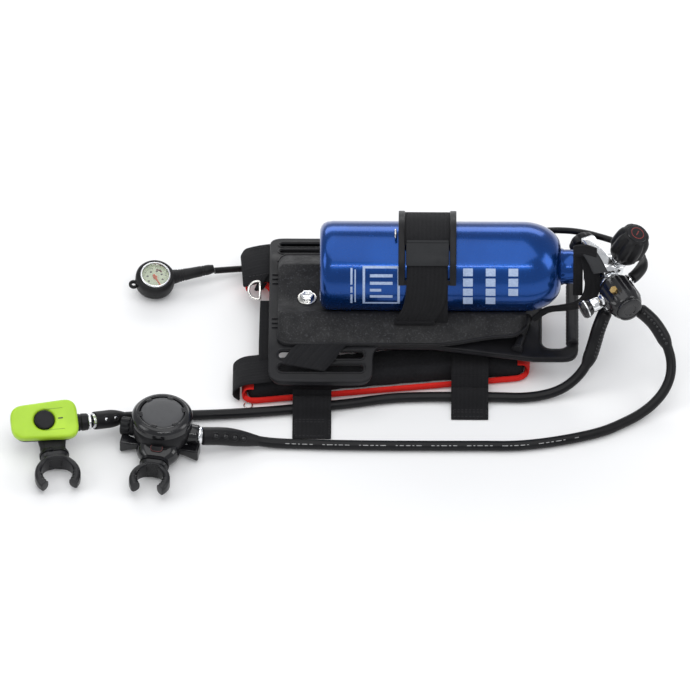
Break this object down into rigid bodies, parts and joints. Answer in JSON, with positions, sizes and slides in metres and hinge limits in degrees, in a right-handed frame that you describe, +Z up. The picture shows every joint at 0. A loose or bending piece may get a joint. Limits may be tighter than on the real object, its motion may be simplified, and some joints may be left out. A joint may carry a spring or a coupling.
{
  "type": "open-circuit breathing apparatus",
  "caption": "Compact diving set lying on its harness: small cylinder banded to a moulded backplate, regulator, spare regulator and pressure gauge on hoses.",
  "frame": {"origin": "middle of the underside of the set's box, without the free hoses, on the surface it lies on", "axes": "+X along the cylinder towards its valve, +Z up off the surface, -Y towards the mouthpieces"},
  "size_m": [0.8224, 0.4212, 0.1934],
  "materials": {
    "tank_paint": "glossy blue lacquer over aluminium",
    "black_plastic": "moulded, satin",
    "black_rubber": "smooth hose and boot rubber",
    "chrome": "bright plated brass",
    "brass": "bare turned brass",
    "lime_plastic": "lime, satin gloss",
    "webbing": "woven nylon webbing",
    "pad_fabric": "padded nylon with red piping",
    "saddle_plastic": "grained, dark grey",
    "spring_steel": "drawn wire and pressed steel",
    "silicone": "satin silicone",
    "dial_face": "printed pale dial",
    "clear_lens": "clear window",
    "needle_red": "painted pointer"
  },
  "bodies": {
    "set": {"backplate": "black_plastic", "band_frame": "black_plastic", "cam_webbing": "webbing", "cylinder": "tank_paint", "dip_tube": "brass", "first_stage_body": "black_plastic", "first_stage_cap": "black_plastic", "first_stage_piston": "brass", "gauge_bezel": "chrome", "gauge_case": "black_rubber", "gauge_dial": "dial_face", "gauge_lens": "clear_lens", "gauge_movement": "brass", "hose_boot_octopus": "black_rubber", "hose_boot_primary": "black_rubber", "hose_gauge": "black_rubber", "hose_keeper_left": "webbing", "hose_keeper_right": "webbing", "hose_octopus": "black_rubber", "hose_primary": "black_rubber", "hose_sleeve_octopus": "black_rubber", "hose_sleeve_primary": "black_rubber", "neck_strap": "webbing", "octopus_body": "black_plastic", "octopus_cover": "lime_plastic", "octopus_diaphragm": "silicone", "octopus_mouthpiece": "silicone", "octopus_valve_tube": "chrome", "pad_front": "pad_fabric", "pad_rear": "pad_fabric", "piston_spring": "spring_steel", "port_plug": "brass", "primary_body": "black_plastic", "primary_cover": "black_plastic", "primary_diaphragm": "silicone", "primary_exhaust_tee": "black_rubber", "primary_mouthpiece": "silicone", "primary_purge_spring": "spring_steel", "primary_valve_tube": "chrome", "relief_valve": "chrome", "saddle": "saddle_plastic", "saddle_bolt": "chrome", "swivel_octopus": "chrome", "swivel_primary": "chrome", "valve_body": "chrome", "valve_bonnet": "chrome", "yoke": "chrome"},
    "valve_spindle": {"valve_knob": "black_rubber", "valve_stem": "brass"},
    "yoke_screw": {"yoke_knob": "black_plastic"},
    "primary_button": {"primary_purge": "black_plastic"},
    "primary_demand_lever": {"primary_lever": "spring_steel"},
    "primary_adjuster": {"primary_adjust_knob": "black_plastic"},
    "octopus_button": {"octopus_purge": "black_plastic"},
    "octopus_demand_lever": {"octopus_lever": "spring_steel"},
    "gauge_pointer": {"gauge_needle": "needle_red"},
    "band_buckle": {"buckle_lever": "black_plastic"},
    "harness_ring": {"d_ring": "chrome"}
  },
  "joints": [
    {"name": "cylinder_valve_turn", "type": "hinge", "parent": "set", "child": "valve_spindle", "pos_m": [0.34659, 0.07508, 0.14754], "axis": [0.381, -0.1504, 0.9123], "range_deg": [0, 720]},
    {"name": "yoke_screw_turn", "type": "hinge", "parent": "set", "child": "yoke_screw", "pos_m": [0.29719, 0.11974, 0.122], "axis": [0.4384, -0.8988, 0], "range_deg": [0, 720]},
    {"name": "primary_purge_press", "type": "slide", "parent": "set", "child": "primary_button", "axis": [0, 0, -1], "range_m": [0, 0.003], "stiffness_N_per_m": 600, "deforming": ["primary_purge_spring"]},
    {"name": "primary_lever_dip", "type": "hinge", "parent": "set", "child": "primary_demand_lever", "pos_m": [-0.2329, -0.11362, 0.0332], "axis": [0.1736, 0.9848, 0], "range_deg": [0, 8]},
    {"name": "inhalation_adjust_turn", "type": "hinge", "parent": "set", "child": "primary_adjuster", "pos_m": [-0.26539, -0.10789, 0.024], "axis": [-0.9848, 0.1736, 0], "range_deg": [0, 540]},
    {"name": "octopus_purge_press", "type": "slide", "parent": "set", "child": "octopus_button", "axis": [-0.0588, 0.4185, -0.9063], "range_m": [0, 0.003], "stiffness_N_per_m": 600},
    {"name": "octopus_lever_dip", "type": "hinge", "parent": "set", "child": "octopus_demand_lever", "pos_m": [-0.39094, -0.11834, 0.03346], "axis": [-0.1261, 0.8975, 0.4226], "range_deg": [0, 3]},
    {"name": "pressure_needle_sweep", "type": "hinge", "parent": "set", "child": "gauge_pointer", "pos_m": [-0.2338, 0.16237, 0.02368], "axis": [-0.0707, 0.2314, -0.9703], "range_deg": [0, 270]},
    {"name": "band_buckle_open", "type": "hinge", "parent": "set", "child": "band_buckle", "pos_m": [0.10442, 0.06463, 0.18553], "axis": [-1, 0, 0], "range_deg": [0, 110]},
    {"name": "harness_ring_swing", "type": "hinge", "parent": "set", "child": "harness_ring", "pos_m": [-0.10308, 0.12329, 0.039], "axis": [0, 0.682, 0.7314], "range_deg": [0, 95]}
  ],
  "couplings": [
    {"joint": "primary_lever_dip", "follows": "primary_purge_press", "rad_per_m": 40},
    {"joint": "octopus_lever_dip", "follows": "octopus_purge_press", "rad_per_m": 16}
  ]
}
